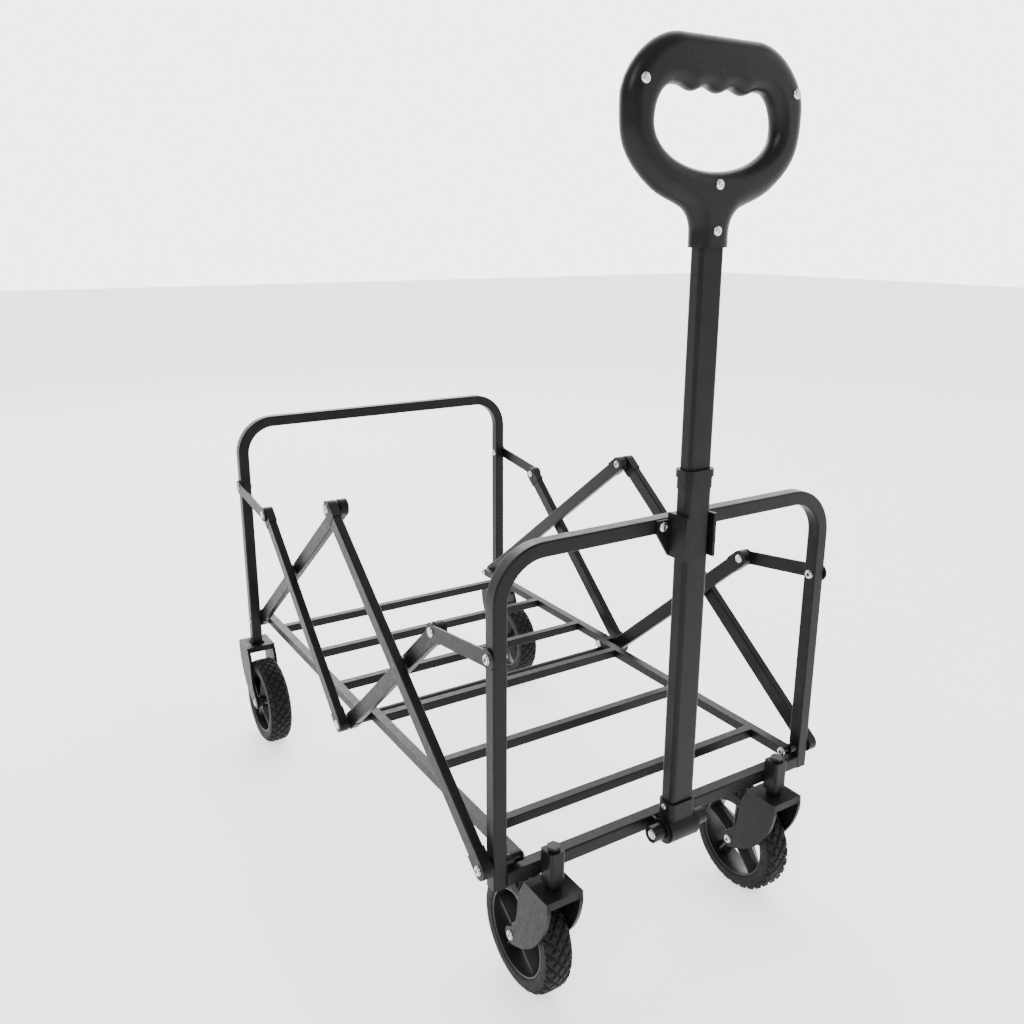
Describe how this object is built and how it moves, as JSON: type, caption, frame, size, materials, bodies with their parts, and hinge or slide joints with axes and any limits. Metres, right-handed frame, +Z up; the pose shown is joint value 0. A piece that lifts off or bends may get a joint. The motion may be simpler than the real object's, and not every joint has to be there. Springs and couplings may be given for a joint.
{
  "type": "folding camp wagon",
  "caption": "Folding camp wagon frame: two bent-tube end frames, side scissor braces, hinged floor bars, fixed rear wheels, front swivel casters and a telescoping pull handle.",
  "frame": {"origin": "on the ground, under the middle of the wagon's overall box", "axes": "+Z up; X across the wagon; the pull handle and the swivel casters are at -Y, the fixed wheels at +Y"},
  "size_m": [0.5174, 0.811, 0.977],
  "materials": {
    "powder_coat": "satin black powder coat on steel tube",
    "moulded_plastic": "fine-grained moulded black plastic",
    "tyre_rubber": "matte black soft plastic tyre",
    "zinc_plate": "zinc plated rivets and screws"
  },
  "bodies": {
    "rear_frame": {"rear_frame_tube": "powder_coat", "rear_forks": "moulded_plastic", "rear_foot_pins": "zinc_plate", "rear_strap_pins": "zinc_plate", "rear_axle_pins": "zinc_plate"},
    "rear_wheel_left": {"rear_tyre_left": "tyre_rubber", "rear_rim_left": "moulded_plastic"},
    "rear_wheel_right": {"rear_tyre_right": "tyre_rubber", "rear_rim_right": "moulded_plastic"},
    "long_brace_rear": {"long_brace_rear_tubes": "powder_coat", "long_brace_rear_caps": "moulded_plastic"},
    "long_brace_front": {"long_brace_front_tubes": "powder_coat", "long_brace_front_caps": "moulded_plastic", "peak_pins": "zinc_plate"},
    "short_brace_rear": {"short_brace_rear_tubes": "powder_coat", "short_brace_rear_caps": "moulded_plastic", "cross_rod": "powder_coat", "cross_rod_rivets": "zinc_plate", "rear_crossing_pins": "powder_coat", "short_brace_rear_rivets": "zinc_plate"},
    "short_brace_front": {"short_brace_front_tubes": "powder_coat", "short_brace_front_caps": "moulded_plastic", "front_crossing_pins": "powder_coat", "short_brace_front_rivets": "zinc_plate"},
    "tie_straps_rear": {"tie_straps_rear": "powder_coat", "tie_strap_rear_rivets": "zinc_plate"},
    "tie_straps_front": {"tie_straps_front": "powder_coat", "tie_strap_front_rivets": "zinc_plate"},
    "floor_rear": {"floor_rear_rails": "powder_coat", "floor_rear_bars": "powder_coat"},
    "floor_front": {"floor_front_rails": "powder_coat", "floor_front_bars": "powder_coat", "floor_hinge_rivets": "zinc_plate"},
    "front_frame": {"front_frame_tube": "powder_coat", "front_cross_tube": "powder_coat", "caster_sleeves": "powder_coat", "caster_kingpins": "powder_coat", "front_foot_pins": "zinc_plate", "front_strap_pins": "zinc_plate", "handle_bracket": "powder_coat", "handle_pivot_bolt": "zinc_plate", "handle_clip": "moulded_plastic", "clip_rivets": "zinc_plate"},
    "caster_left": {"caster_fork_left": "moulded_plastic", "caster_axle_left": "zinc_plate"},
    "caster_right": {"caster_fork_right": "moulded_plastic", "caster_axle_right": "zinc_plate"},
    "front_wheel_left": {"front_tyre_left": "tyre_rubber", "front_rim_left": "moulded_plastic"},
    "front_wheel_right": {"front_tyre_right": "tyre_rubber", "front_rim_right": "moulded_plastic"},
    "handle_lower": {"handle_lower_tube": "powder_coat", "handle_boot": "moulded_plastic", "boot_screw": "zinc_plate", "handle_collar": "moulded_plastic"},
    "handle_upper": {"handle_upper_tube": "powder_coat", "handle_slide_plug": "moulded_plastic", "handle_grip_front": "moulded_plastic", "handle_grip_back": "moulded_plastic", "grip_screws": "zinc_plate"}
  },
  "joints": [
    {"name": "fold", "type": "hinge", "parent": "rear_frame", "child": "long_brace_rear", "pos_m": [0, 0.3825, 0.1905], "axis": [-1, 0, 0], "range_deg": [0, 39.5]},
    {"name": "peak_hinge", "type": "hinge", "parent": "long_brace_rear", "child": "long_brace_front", "pos_m": [0, 0.009, 0.475], "axis": [-1, 0, 0], "range_deg": [-79, 0]},
    {"name": "front_foot_hinge", "type": "hinge", "parent": "long_brace_front", "child": "front_frame", "pos_m": [0, -0.3645, 0.1905], "axis": [-1, 0, 0], "range_deg": [0, 39.5]},
    {"name": "rear_crossing_hinge", "type": "hinge", "parent": "long_brace_rear", "child": "short_brace_rear", "pos_m": [0, 0.19062, 0.33666], "axis": [-1, 0, 0], "range_deg": [-75.56, 0]},
    {"name": "front_crossing_hinge", "type": "hinge", "parent": "long_brace_front", "child": "short_brace_front", "pos_m": [0, -0.17262, 0.33666], "axis": [-1, 0, 0], "range_deg": [0, 75.56]},
    {"name": "rear_strap_hinge", "type": "hinge", "parent": "rear_frame", "child": "tie_straps_rear", "pos_m": [0, 0.3825, 0.4185], "axis": [-1, 0, 0], "range_deg": [0, 80.19]},
    {"name": "front_strap_hinge", "type": "hinge", "parent": "front_frame", "child": "tie_straps_front", "pos_m": [0, -0.3645, 0.4185], "axis": [-1, 0, 0], "range_deg": [-80.19, 0]},
    {"name": "rear_floor_hinge", "type": "hinge", "parent": "rear_frame", "child": "floor_rear", "pos_m": [0, 0.3825, 0.1905], "axis": [-1, 0, 0], "range_deg": [0, 73.31]},
    {"name": "front_floor_hinge", "type": "hinge", "parent": "front_frame", "child": "floor_front", "pos_m": [0, -0.3645, 0.1905], "axis": [-1, 0, 0], "range_deg": [-73.31, 0]},
    {"name": "caster_swivel_left", "type": "hinge", "parent": "front_frame", "child": "caster_left", "pos_m": [-0.1625, -0.3825, 0.1525], "axis": [0, 0, 1], "continuous": true},
    {"name": "front_wheel_spin_left", "type": "hinge", "parent": "caster_left", "child": "front_wheel_left", "pos_m": [-0.1625, -0.335, 0.0675], "axis": [1, 0, 0], "continuous": true},
    {"name": "rear_wheel_spin_left", "type": "hinge", "parent": "rear_frame", "child": "rear_wheel_left", "pos_m": [-0.234, 0.335, 0.0675], "axis": [1, 0, 0], "continuous": true},
    {"name": "caster_swivel_right", "type": "hinge", "parent": "front_frame", "child": "caster_right", "pos_m": [0.1625, -0.3825, 0.1525], "axis": [0, 0, 1], "continuous": true},
    {"name": "front_wheel_spin_right", "type": "hinge", "parent": "caster_right", "child": "front_wheel_right", "pos_m": [0.1625, -0.335, 0.0675], "axis": [1, 0, 0], "continuous": true},
    {"name": "rear_wheel_spin_right", "type": "hinge", "parent": "rear_frame", "child": "rear_wheel_right", "pos_m": [0.234, 0.335, 0.0675], "axis": [1, 0, 0], "continuous": true},
    {"name": "handle_tilt", "type": "hinge", "parent": "front_frame", "child": "handle_lower", "pos_m": [0, -0.3889, 0.171], "axis": [1, 0, 0], "range_deg": [0, 100]},
    {"name": "handle_slide", "type": "slide", "parent": "handle_lower", "child": "handle_upper", "axis": [0, 0, 1], "range_m": [-0.21, 0]}
  ],
  "couplings": [
    {"joint": "peak_hinge", "follows": "fold", "ratio": -2},
    {"joint": "front_foot_hinge", "follows": "fold", "ratio": 1},
    {"joint": "rear_crossing_hinge", "follows": "fold", "ratio": -1.913},
    {"joint": "front_crossing_hinge", "follows": "fold", "ratio": 1.913},
    {"joint": "rear_strap_hinge", "follows": "fold", "ratio": 2.03},
    {"joint": "front_strap_hinge", "follows": "fold", "ratio": -2.03},
    {"joint": "rear_floor_hinge", "follows": "fold", "ratio": 1.856},
    {"joint": "front_floor_hinge", "follows": "fold", "ratio": -1.856}
  ]
}
